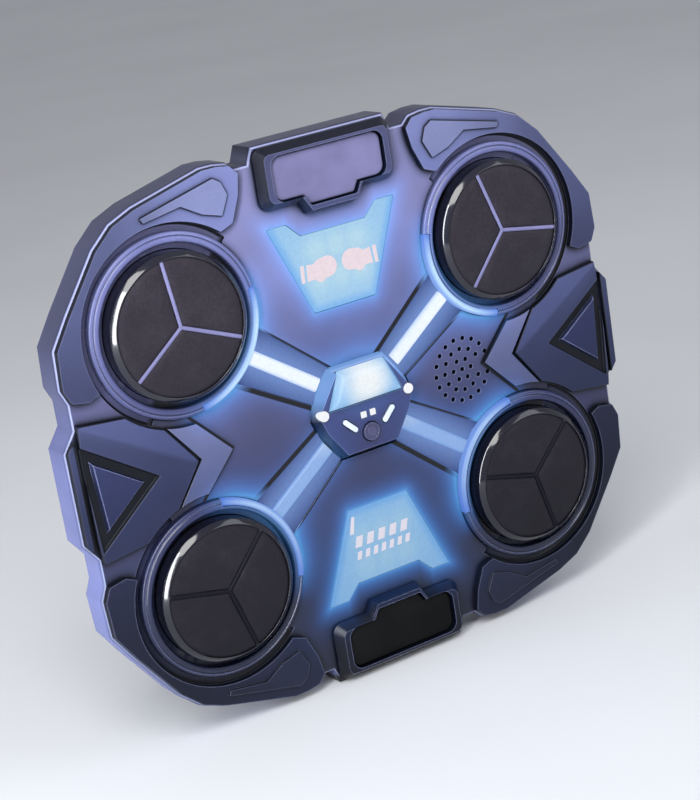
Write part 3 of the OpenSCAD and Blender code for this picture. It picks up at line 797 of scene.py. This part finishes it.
def turned(bm, profile, centre, steps=128):
    """A lathe shape whose profile starts and ends on the axis."""
    rings = [
        [bm.verts.new(spot(centre, r, 2 * math.pi * i / steps, out))
         for i in range(steps if r > 0 else 1)]
        for r, out in profile
    ]
    for a, b in zip(rings, rings[1:]):
        for i in range(steps):
            j = (i + 1) % steps
            corners = [a[i % len(a)], a[j % len(a)], b[j % len(b)], b[i % len(b)]]
            bm.faces.new(list(dict.fromkeys(corners)))


def slab(bm, points, low, high):
    """A prism over a flat outline of (x, z) points, between two distances out from the wall."""
    tube(bm, [[bm.verts.new((x, -out, z)) for x, z in points] for out in (low, high)])


# --- Housing ----------------------------------------------------------------------------------

def make_front_shell():
    bm = cad_copy("front_shell", on_plane(RECESS))
    speaker = middle("speaker_driver")
    grille_r = 20 * MM
    at_face = on_plane(FACE)

    def near_grille(p):
        return math.hypot(p.x - speaker.x, p.z - speaker.z) < grille_r

    soften(bm, 0.25 * MM, lambda p: at_face(p) and near_grille(p), 2)
    soften(bm, 0.7 * MM, lambda p: at_face(p) and not near_grille(p))
    soften(bm, 0.5 * MM, on_plane(back("front_shell")), 2)
    return stands_for(finish_mesh("front_shell_body", bm, MATERIAL["front"]), "front_shell")


def make_rear_shell():
    bm = cad_copy("rear_shell")
    soften(bm, 0.5 * MM, on_plane(front("rear_shell")), 2)
    soften(bm, 1.6 * MM, on_plane(back("rear_shell")), 4)
    return stands_for(finish_mesh("rear_shell_body", bm, MATERIAL["rear"]), "rear_shell")


def make_troughs():
    """Four lit channels whose floors rise from the light bar to the edges of the plates."""
    bm = bmesh.new()
    start, end = 21 * MM, ARM_REACH - BEZEL_R
    bar_half, start_half, end_half = 4.6 * MM, 9.2 * MM, 13.5 * MM
    low, floor_out, rim_out = back("light_tray"), front("light_tray"), FACE - 0.35 * MM
    for p in PADS:
        turn = math.atan2(PAD_AT[p].z, PAD_AT[p].x)

        def section(along, half):
            shape = [(-half, low), (half, low), (half, rim_out), (bar_half, floor_out),
                     (-bar_half, floor_out), (-half, rim_out)]
            ring = []
            for across, out in shape:
                reach = along
                if along > start:
                    reach = ARM_REACH - math.sqrt((BEZEL_R + 0.1 * MM) ** 2 - across ** 2)
                x = reach * math.cos(turn) - across * math.sin(turn)
                z = reach * math.sin(turn) + across * math.cos(turn)
                ring.append(bm.verts.new((x, -out, z)))
            return ring

        tube(bm, [section(start, start_half), section(end, end_half)])
    soften(bm, 0.35 * MM, further(low + 0.1 * MM), 2, 8)
    return stands_for(finish_mesh("light_troughs", bm, MATERIAL["trough"]), "light_tray")


def make_corner_guard(p):
    node = "corner_guard_" + p
    bm = cad_copy(node)
    soften(bm, 0.45 * MM, on_plane(front(node)), 3)
    soften(bm, 1.3 * MM, on_plane(GUARD_TOP), 3)
    return stands_for(finish_mesh("guard_" + p, bm, MATERIAL["guard"]), node)


def crease(bm, point, away, drop, top):
    """Folds the top face down along a line: everything on the far side slopes to the wall."""
    normal = Vector((away[0], 0, away[1])).normalized()
    origin = Vector((point[0], 0, point[1]))
    bmesh.ops.bisect_plane(bm, geom=bm.verts[:] + bm.edges[:] + bm.faces[:], plane_co=origin,
                           plane_no=normal, dist=1e-6)
    for v in bm.verts:
        past = (v.co - origin).dot(normal)
        if past > 1e-6 and abs(-v.co.y - top) < 0.05 * MM:
            v.co.y += past * drop


def make_side_guard(side):
    node = "side_guard_" + side
    sign = -1 if side == "left" else 1
    bm = cad_copy(node)
    for level in (-1, 1):
        fold = (sign * 106 * MM, level * 6 * MM)
        crease(bm, fold, (sign * -0.52, level * 0.85), 0.055, front(node))
    soften(bm, 0.7 * MM, further(front(node) - 2.2 * MM), 3, 30)
    return stands_for(finish_mesh("side_plate_" + side, bm, MATERIAL["side"]), node)


def make_simple(node, name, material, width, steps=3, out=None):
    """A bevelled copy of a plate-like CAD node."""
    bm = cad_copy(node)
    soften(bm, width, on_plane(front(node)) if out is None else further(out), steps)
    return stands_for(finish_mesh(name, bm, MATERIAL[material]), node)


def make_grip(level):
    node = "grip_frame_" + level
    bm = cad_copy(node)
    soften(bm, 1.1 * MM, further(front(node) - 0.3 * MM), 4, 20)
    stands_for(finish_mesh("grip_block_" + level, bm, MATERIAL["grip"]), node)
    panel = "grip_panel_" + level
    bm = cad_copy(panel)
    soften(bm, 1.1 * MM, on_plane(front(panel)), 4)
    stands_for(finish_mesh("grip_inlay_" + level, bm, MATERIAL["panel_" + level]), panel)


# --- Strike pads ------------------------------------------------------------------------------

def hubward(p):
    return math.atan2(-PAD_AT[p].z, -PAD_AT[p].x)


def make_bezel(p):
    """A stepped ring; on the hub side its outer step gives way to the light arc."""
    low, top = back("pad_bezel_" + p), BEZEL_TOP
    inner, seat = BEZEL_R - 5.5 * MM, BEZEL_R - 3.5 * MM
    lip = offsets(inner, top, (1.0, -0.1), (0.4, -0.5), (0, -1.3))
    full = [(inner, low), (BEZEL_R, low)] + offsets(
        BEZEL_R, top, (0, -1.7), (-0.3, -1.1), (-0.9, -0.6), (-1.7, -0.5), (-2.1, -0.9),
        (-2.5, -0.5), (-2.9, -0.1), (-3.6, 0)) + lip
    slim = [(inner, low), (BEZEL_R, low), (BEZEL_R, low + 1 * MM), (seat, low + 1 * MM)]
    slim += offsets(seat, top, (0, -0.4), (-0.3, -0.1)) + lip
    bm = bmesh.new()
    turn = hubward(p)
    swept(bm, full, PAD_AT[p], turn + ARC_HALF, turn + 2 * math.pi - ARC_HALF, 120)
    swept(bm, slim, PAD_AT[p], turn - ARC_HALF, turn + ARC_HALF, 48)
    return stands_for(finish_mesh("bezel_ring_" + p, bm, MATERIAL["bezel"], 50), "pad_bezel_" + p)


def make_arc(p):
    node = "arc_lens_" + p
    low, top = back(node), front(node)
    profile = [(BEZEL_R - 3.3 * MM, low), (BEZEL_R, low)] + offsets(
        BEZEL_R, top, (0, -1.5), (-0.4, -0.6), (-1.1, -0.1), (-1.8, 0), (-2.5, -0.1),
        (-3.0, -0.5), (-3.3, -1.2))
    bm = bmesh.new()
    half = ARC_HALF - math.radians(0.5)
    turn = hubward(p)
    swept(bm, profile, PAD_AT[p], turn - half, turn + half, 64)
    return stands_for(finish_mesh("light_arc_" + p, bm, MATERIAL["arc"], 50), node)


def make_carrier(p):
    """The moving cup under the skin: rim, skirt, flange, stem and the Y of ribs."""
    node = "strike_pad_" + p
    at, top, low = PAD_AT[p], PAD_TOP, back(node)
    seat = back("strike_skin_" + p)
    under = seat - 3 * MM
    flange = under - 9.2 * MM
    profile = [(0, low)]
    profile += offsets(0, low, (3.1, 0), (3.5, 0.4))
    profile += offsets(0, under, (3.5, 0), (10.3, 0), (10.3, -2.7), (10.6, -3), (11.5, -3),
                       (11.8, -2.7), (11.8, 0))
    profile += [(RIM_R - 2.2 * MM, under), (RIM_R - 2.2 * MM, flange)]
    profile += offsets(FLANGE_R, flange, (-0.3, 0), (0, 0.3), (0, 1.7), (-0.3, 2))
    profile += offsets(RIM_R, flange, (0.3, 2), (0, 2.3))
    profile += offsets(RIM_R, top, (0, -2.15), (-0.08, -1.95), (-0.7, -1.36), (-1.4, -0.76),
                       (-2.1, -0.15), (-2.35, 0), (-2.6, -0.06), (-2.8, -0.35))
    profile += [(RIM_R - 2.8 * MM, seat), (0, seat)]
    bm = bmesh.new()
    turned(bm, profile, at)
    reach = SKIN_R + 0.4 * MM
    section = [(-0.95, -1.0), (0.95, -1.0), (0.95, 0.75), (0.6, 1.1), (0.2, 1.2), (-0.2, 1.2),
               (-0.6, 1.1), (-0.95, 0.75)]
    for leg in range(3):
        angle = math.radians(RIB_TURN[p] + 120 * leg)
        c, s = math.cos(angle), math.sin(angle)
        tube(bm, [[bm.verts.new((at.x + along * c - across * MM * s, -(seat + out * MM),
                                 at.z + along * s + across * MM * c)) for across, out in section]
                  for along in (0.0, reach)])
    return stands_for(finish_mesh("pad_carrier_" + p, bm, MATERIAL["pad"], 42), node)


def make_skin(p):
    """Three crowned wedges of soft skin between the ribs."""
    node = "strike_skin_" + p
    low, top = back(node), PAD_TOP
    gap = 1.1 * MM
    inner = gap * 1.25
    edge_sunk, swell, dome, roll = 0.95 * MM, 0.5 * MM, 0.55 * MM, 1.4 * MM
    rows, columns = 18, 30
    bm = bmesh.new()
    for leg in range(3):
        start = math.radians(RIB_TURN[p] + 120 * leg)
        grid = []
        for i in range(rows + 1):
            r = inner + (SKIN_R - inner) * i / rows
            half_gap = math.asin(gap / r)
            sweep = math.radians(120) - 2 * half_gap
            ring = []
            for j in range(columns + 1):
                rib_gap = r * math.sin(min(sweep * j / columns, sweep * (1 - j / columns)) + 1e-9)
                inside = min(rib_gap, SKIN_R - r, r - gap)
                rise = 1 - math.exp(-max(inside, 0) / roll)
                crown = dome * (1 - (r / SKIN_R - 0.45) ** 2)
                out = top - edge_sunk + rise * (swell + crown)
                turn = start + half_gap + sweep * j / columns
                ring.append(bm.verts.new(spot(PAD_AT[p], r, turn, out)))
            grid.append(ring)
        for a, b in zip(grid, grid[1:]):
            for j in range(columns):
                bm.faces.new((a[j], a[j + 1], b[j + 1], b[j]))
        edge = ([row[0] for row in grid] + grid[-1][1:] + [row[-1] for row in grid[-2::-1]]
                + grid[0][-2:0:-1])
        floor = [bm.verts.new((v.co.x, -low, v.co.z)) for v in edge]
        bridge(bm, edge, floor)
        bm.faces.new(floor)
    made = stands_for(finish_mesh("pad_skin_" + p, bm, MATERIAL["skin"], 60), node)
    return made


def make_spring(p):
    """A round-wire coil, the spring that on the real pad shortens as the pad is pressed."""
    node = "pad_spring_" + p
    low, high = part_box(node)
    wire = 0.7 * MM
    coil = (high.x - low.x) / 2 - wire
    turns, per_turn, sides = 5, 40, 12
    at = PAD_AT[p]
    foot, length = -high.y, high.y - low.y
    rings = []
    bm = bmesh.new()
    for i in range(turns * per_turn + 1):
        angle = 2 * math.pi * i / per_turn
        out = foot + wire + (length - 2 * wire) * i / (turns * per_turn)
        tilts = [2 * math.pi * k / sides for k in range(sides)]
        rings.append([bm.verts.new(spot(at, coil + wire * math.cos(tilt), angle,
                                        out + wire * math.sin(tilt))) for tilt in tilts])
    tube(bm, rings)
    made = stands_for(finish_mesh("coil_spring_" + p, bm, MATERIAL["spring"], 60), node)
    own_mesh(made)
    return made


# --- Lights and hub ---------------------------------------------------------------------------

def make_score_lens(level):
    """A diffuser with a raised inner field."""
    node = "score_lens_" + level
    bm = cad_copy(node)
    top = [f for f in bm.faces if all(on_plane(front(node))(v.co) for v in f.verts)]
    bmesh.ops.inset_region(bm, faces=top, thickness=1.6 * MM, depth=0.0)
    bmesh.ops.inset_region(bm, faces=top, thickness=0.35 * MM, depth=-0.35 * MM)
    soften(bm, 0.4 * MM, on_plane(front(node)), 2, 60)
    return stands_for(finish_mesh("score_panel_" + level, bm, MATERIAL["panel_light"], 25), node)


def arc_points(cx, cz, r, start, end, steps):
    angles = [math.radians(start + (end - start) * i / steps) for i in range(steps + 1)]
    return [(cx + r * math.cos(a), cz + r * math.sin(a)) for a in angles]


def glove_outline():
    """A plain boxing glove that punches towards +x, in millimetres round its own middle."""
    knuckles = arc_points(3.2, 0.9, 4.6, -70, 95, 14)
    wrist = [(-1.2, 4.8), (-3.4, 3.4), (-6.6, 3.8), (-7.2, -3.2), (-3.8, -3.0)]
    thumb = arc_points(-0.6, -2.6, 2.3, 200, 330, 8)
    return knuckles + wrist + thumb


ICON_T = 0.5 * MM


def make_icons():
    """Two plain gloves that meet in the middle of the upper panel."""
    lens = "score_lens_top"
    out = front(lens) - 0.35 * MM
    centre_z = middle(lens).z - 3 * MM
    grow = 1.12 * MM
    for side, sign in (("left", -1), ("right", 1)):
        bm = bmesh.new()
        points = [(sign * (9.2 - x) * grow, centre_z + z * grow) for x, z in glove_outline()]
        slab(bm, points, out, out + ICON_T)
        cuff = [(sign * (9.2 - x) * grow, centre_z + z * grow)
                for x, z in ((-7.9, 3.9), (-9.6, 4.1), (-10.0, -3.4), (-8.5, -3.3))]
        slab(bm, cuff, out, out + ICON_T)
        bmesh.ops.recalc_face_normals(bm, faces=bm.faces)
        soften(bm, 0.15 * MM, further(out + 0.3 * MM), 2)
        added_to(finish_mesh("glove_icon_" + side, bm, MATERIAL["icon"]), lens)


def make_bars():
    """Two rows of slanted level bars on the lower panel, and a tick at its upper corner."""
    lens = "score_lens_bottom"
    out = front(lens) - 0.35 * MM
    centre_z = middle(lens).z
    bm = bmesh.new()
    row_half = 16.5
    rows = ((5.5, 5, 5.4, 3.6), (-1.5, 7, 3.9, 2.3))
    for row_z, count, height, width in rows:
        for i in range(count):
            x = row_half * (2 * i / count - 1)
            lean = height * 0.28
            bar = ((x, -height / 2), (x + width, -height / 2),
                   (x + width + lean, height / 2), (x + lean, height / 2))
            outline = [(cx * MM, centre_z + (row_z + cz) * MM) for cx, cz in bar]
            slab(bm, outline, out, out + ICON_T)
    tick = ((-18.4, 10.2), (-16.2, 10.2), (-14.6, 18.6), (-16.2, 18.6))
    slab(bm, [(x * MM, centre_z + z * MM) for x, z in tick], out, out + ICON_T)
    bmesh.ops.recalc_face_normals(bm, faces=bm.faces)
    soften(bm, 0.15 * MM, further(out + 0.3 * MM), 2)
    added_to(finish_mesh("level_bars", bm, MATERIAL["mark"]), lens)


def make_hub():
    at_top = further(front("hub_shell") - 0.05 * MM)
    well_x, well_low, well_high = 16 * MM, -18.5 * MM, -1 * MM

    def round_a_well(p):
        return at_top(p) and abs(p.x) < well_x and well_low < p.z < well_high

    bm = cad_copy("hub_shell")
    soften(bm, 0.25 * MM, round_a_well, 2, 40)
    soften(bm, 1.2 * MM, at_top, 4, 15)
    stands_for(finish_mesh("hub_cover", bm, MATERIAL["hub"]), "hub_shell")
    bm = cad_copy("hub_dome")
    soften(bm, 1.6 * MM, further(back("hub_dome") + 1.5 * MM), 5, 10)
    stands_for(finish_mesh("hub_light", bm, MATERIAL["dome"], 60), "hub_dome")
    make_simple("hub_indicators", "hub_marks", "indicator", 0.35 * MM, 3, RECESS)
    make_simple("power_button", "power_cap", "button", 0.35 * MM)
    make_simple("minus_key", "key_minus", "key", 0.35 * MM)
    make_simple("plus_key", "key_plus", "key", 0.35 * MM)


# --- Inside and back --------------------------------------------------------------------------

def make_speaker():
    node = "speaker_driver"
    at = middle(node)
    low, top = back(node), front(node)
    magnet = offsets(0, low, (8.6, 0), (9, 0.4), (9, 3.6), (10.5, 4.2))
    basket = offsets(0, top, (16.2, -2.4), (18, -2.4), (18, 0), (16.4, 0), (15.8, -0.3),
                     (15.2, -1.0))
    cone = offsets(0, top, (14.4, -0.4), (13.5, -0.2), (12.6, -0.5), (12.0, -1.1), (7.0, -3.4))
    cap = offsets(0, top, (6.4, -3.2), (4.5, -2.3), (2.2, -1.9), (0, -1.8))
    profile = [(0, low)] + magnet + basket + cone + cap
    bm = bmesh.new()
    turned(bm, profile, Vector((at.x, 0, at.z)), 72)
    return stands_for(finish_mesh("speaker_cone", bm, MATERIAL["speaker"], 50), node)


def make_tape(node, material):
    """Three strips of tape with rounded corners."""
    low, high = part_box(node)
    width = 25 * MM
    rows = [low.z + width / 2, 0.0, high.z - width / 2]
    bm = bmesh.new()
    corner = 2.5 * MM
    for z in rows:
        half_l, half_w = high.x - corner, width / 2 - corner
        points = []
        for cx, cz, start in ((half_l, half_w, 0), (-half_l, half_w, 90), (-half_l, -half_w, 180),
                              (half_l, -half_w, 270)):
            points += arc_points(cx, z + cz, corner, start, start + 90, 6)
        slab(bm, points, -high.y, -low.y)
    bmesh.ops.recalc_face_normals(bm, faces=bm.faces)
    soften(bm, 0.3 * MM, None, 2)
    return stands_for(finish_mesh(node.replace("strips", "tape"), bm, MATERIAL[material]), node)


# --- Stage ------------------------------------------------------------------------------------

def make_stage():
    mesh = bpy.data.meshes.new("floor")
    bm = bmesh.new()
    half = 6.0
    around = ((-half, -half), (half, -half), (half, half), (-half, half))
    bm.faces.new([bm.verts.new((x, y, 0)) for x, y in around])
    bm.to_mesh(mesh)
    bm.free()
    floor = bpy.data.objects.new("floor", mesh)
    floor.location.z = CAD_BOX[0].z - 0.5 * MM
    paper, tree, shine = shader("floor_paper")
    tone = remap(noise(tree, 3.0), 0.3, 0.7)
    connect(shine, Base_Color=mix(tone, (0.60, 0.61, 0.63), (0.64, 0.65, 0.67)), Roughness=0.75)
    mesh.materials.append(paper)
    bpy.context.scene.collection.objects.link(floor)
    world = bpy.data.worlds.new("studio")
    world.use_nodes = True
    backdrop = world.node_tree.nodes["Background"]
    backdrop.inputs[0].default_value = (0.86, 0.88, 0.93, 1)
    backdrop.inputs[1].default_value = 0.5
    bpy.context.scene.world = world


def make_light(name, at, size, power, colour=(1, 1, 1), lean=0.0):
    lamp = bpy.data.lights.new(name, "AREA")
    lamp.shape = "RECTANGLE"
    lamp.size, lamp.size_y = size
    lamp.energy = power
    lamp.color = colour
    made = bpy.data.objects.new(name, lamp)
    made.location = at
    aim = Vector((0, 0, 0)) - Vector(at)
    made.rotation_mode = "QUATERNION"
    made.rotation_quaternion = aim.to_track_quat("-Z", "Y") @ Quaternion((0, 0, 1), lean)
    bpy.context.scene.collection.objects.link(made)


CAMERA_AT = Vector((-0.481, -0.852, 0.288))
CAMERA_ROLL = math.radians(9.3)


def make_camera():
    """Up and to the left of the front, rolled so that the pad leans as it does on its carton."""
    lens = bpy.data.cameras.new("camera")
    lens.lens = 93.5
    lens.sensor_width = 36
    made = bpy.data.objects.new("camera", lens)
    made.location = CAMERA_AT
    target = Vector((0, (CAD_BOX[0].y + CAD_BOX[1].y) / 2, 0))
    aim = (target - CAMERA_AT).to_track_quat("-Z", "Y").to_matrix().to_4x4()
    made.matrix_world = Matrix.Translation(CAMERA_AT) @ aim @ Matrix.Rotation(-CAMERA_ROLL, 4, "Z")
    bpy.context.scene.collection.objects.link(made)
    bpy.context.scene.camera = made


make_camera()
make_stage()
make_light("key", (-0.55, -0.95, 1.2), (0.7, 0.7), 15, (1.0, 0.99, 0.97))
make_light("fill", (0.9, -0.9, 0.9), (1.0, 0.8), 6, (0.9, 0.92, 1.0))
make_light("glint", (-0.80, -0.60, 0.30), (0.14, 0.95), 11, (0.95, 0.97, 1.0), math.radians(-15))
make_light("rim", (-1.1, 0.05, 0.12), (0.3, 0.4), 5, (0.88, 0.92, 1.0))

make_front_shell()
make_rear_shell()
make_troughs()
make_hub()
for pad in PADS:
    make_corner_guard(pad)
    make_bezel(pad)
    make_arc(pad)
    make_simple("arm_lens_" + pad, "light_bar_" + pad, "bar", 0.3 * MM, 2,
                front("light_tray") + 0.8 * MM)
    make_carrier(pad)
    make_skin(pad)
    make_spring(pad)
for side in SIDES:
    make_side_guard(side)
    make_simple("chevron_" + side, "chevron_band_" + side, "chevron", 0.6 * MM)
    make_simple("triangle_insert_" + side, "triangle_" + side, "insert", 0.5 * MM)
for level in LEVELS:
    make_grip(level)
    make_score_lens(level)
make_icons()
make_bars()
make_speaker()
make_tape("hook_strips", "hooks")
make_tape("loop_strips", "loops")
for node, material in (("pad_switches", "board"), ("main_board", "board"),
                       ("led_boards", "white_board"), ("battery_cell", "battery"),
                       ("battery_cradle", "cradle"), ("usb_socket", "steel"), ("screws", "steel")):
    dress(node, material)

bpy.context.scene.view_settings.view_transform = "Standard"
